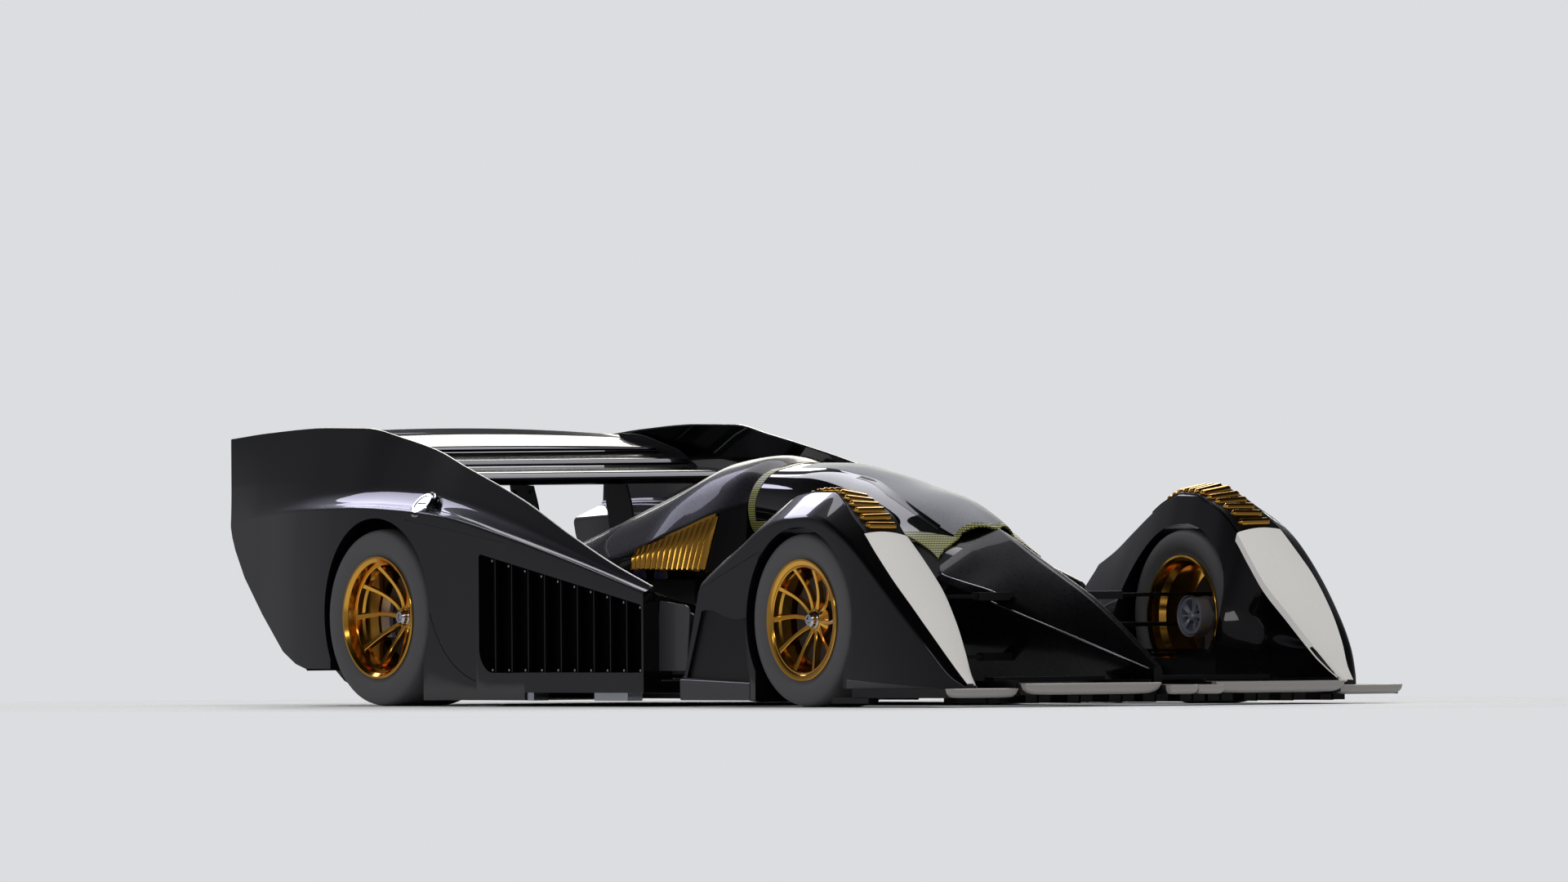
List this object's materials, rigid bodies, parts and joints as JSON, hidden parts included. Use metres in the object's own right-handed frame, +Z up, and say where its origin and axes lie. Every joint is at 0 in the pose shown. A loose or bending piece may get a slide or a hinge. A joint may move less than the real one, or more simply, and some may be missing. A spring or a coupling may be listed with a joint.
{
  "type": "closed single-seat track hypercar",
  "caption": "Low closed track hypercar with steering front wheels, a side-hinged bubble canopy, ridged nose, louvred wheel pods, tall tail fins and a full-width rear wing.",
  "frame": {"origin": "on the ground under the middle of the car's overall box", "axes": "+X forward, +Y to the car's left, +Z up"},
  "size_m": [5.5, 2.2, 1.113],
  "materials": {
    "carbon_gloss": "gloss",
    "carbon_satin": "satin",
    "pale_gloss": "satin",
    "gold_plated": "polished",
    "glazing": "gloss",
    "tyre_rubber": "matte",
    "steel_black": "satin",
    "alloy": "machined",
    "carbon_disc": "ground",
    "seat_trim": "woven",
    "lamp_red": "gloss",
    "woven_frame": "satin"
  },
  "bodies": {
    "root": {"tub": "carbon_gloss", "nose_cone": "carbon_gloss", "front_splitter": "carbon_satin", "front_fender_left": "carbon_gloss", "front_fender_right": "carbon_gloss", "fender_blade_left": "pale_gloss", "fender_blade_right": "pale_gloss", "fender_louvres_left": "gold_plated", "fender_louvres_right": "gold_plated", "engine_cover": "carbon_gloss", "cover_louvre_left": "gold_plated", "cover_louvre_right": "gold_plated", "side_body_left": "carbon_gloss", "side_body_right": "carbon_gloss", "tail_fin_left": "carbon_gloss", "tail_fin_right": "carbon_gloss", "side_grille_left": "carbon_satin", "side_grille_right": "carbon_satin", "filler_caps": "alloy", "deck_louvres_left": "gold_plated", "deck_louvres_right": "gold_plated", "wing_main": "carbon_gloss", "wing_flaps": "carbon_gloss", "wing_endplates": "carbon_gloss", "wing_pylons": "steel_black", "floor_pan": "carbon_satin", "diffuser": "carbon_satin", "engine_block": "alloy", "gearbox": "alloy", "exhausts": "alloy", "rain_light": "lamp_red", "seat": "seat_trim", "front_wishbones": "steel_black", "rear_wishbones": "steel_black", "upright_rear_left": "alloy", "upright_rear_right": "alloy"},
    "canopy": {"canopy_glass": "glazing", "canopy_frame": "woven_frame"},
    "knuckle_left": {"upright_front_left": "alloy"},
    "knuckle_right": {"upright_front_right": "alloy"},
    "rack": {"steering_rack": "steel_black"},
    "hand_wheel": {"steering_wheel": "carbon_satin"},
    "wheel_front_left": {"tyre_front_left": "tyre_rubber", "rim_front_left": "gold_plated", "brake_disc_front_left": "carbon_disc"},
    "wheel_front_right": {"tyre_front_right": "tyre_rubber", "rim_front_right": "gold_plated", "brake_disc_front_right": "carbon_disc"},
    "wheel_rear_left": {"tyre_rear_left": "tyre_rubber", "rim_rear_left": "gold_plated", "brake_disc_rear_left": "carbon_disc"},
    "wheel_rear_right": {"tyre_rear_right": "tyre_rubber", "rim_rear_right": "gold_plated", "brake_disc_rear_right": "carbon_disc"}
  },
  "joints": [
    {"name": "steer_left", "type": "hinge", "parent": "root", "child": "knuckle_left", "pos_m": [1.515, 0.915, 0.35], "axis": [0, 0, 1], "range_deg": [-12, 12]},
    {"name": "steer_right", "type": "hinge", "parent": "root", "child": "knuckle_right", "pos_m": [1.515, -0.915, 0.35], "axis": [0, 0, 1], "range_deg": [-12, 12]},
    {"name": "spin_front_left", "type": "hinge", "parent": "knuckle_left", "child": "wheel_front_left", "pos_m": [1.515, 0.925, 0.35], "axis": [0, 1, 0], "continuous": true},
    {"name": "spin_rear_left", "type": "hinge", "parent": "root", "child": "wheel_rear_left", "pos_m": [-1.485, 0.905, 0.355], "axis": [0, 1, 0], "continuous": true},
    {"name": "spin_front_right", "type": "hinge", "parent": "knuckle_right", "child": "wheel_front_right", "pos_m": [1.515, -0.925, 0.35], "axis": [0, 1, 0], "continuous": true},
    {"name": "spin_rear_right", "type": "hinge", "parent": "root", "child": "wheel_rear_right", "pos_m": [-1.485, -0.905, 0.355], "axis": [0, 1, 0], "continuous": true},
    {"name": "rack_slide", "type": "slide", "parent": "root", "child": "rack", "axis": [0, 1, 0], "range_m": [-0.024, 0.024]},
    {"name": "hand_wheel_turn", "type": "hinge", "parent": "root", "child": "hand_wheel", "pos_m": [0.755, 0, 0.56], "axis": [0.9252, 0, -0.3795], "range_deg": [-144, 144]},
    {"name": "canopy_hinge", "type": "hinge", "parent": "root", "child": "canopy", "pos_m": [0.59, 0.318, 0.69], "axis": [-1, 0, 0], "range_deg": [0, 60]}
  ],
  "couplings": [
    {"joint": "steer_right", "follows": "steer_left", "ratio": 1},
    {"joint": "rack_slide", "follows": "steer_left", "m_per_rad": -0.11},
    {"joint": "hand_wheel_turn", "follows": "steer_left", "ratio": -12}
  ]
}
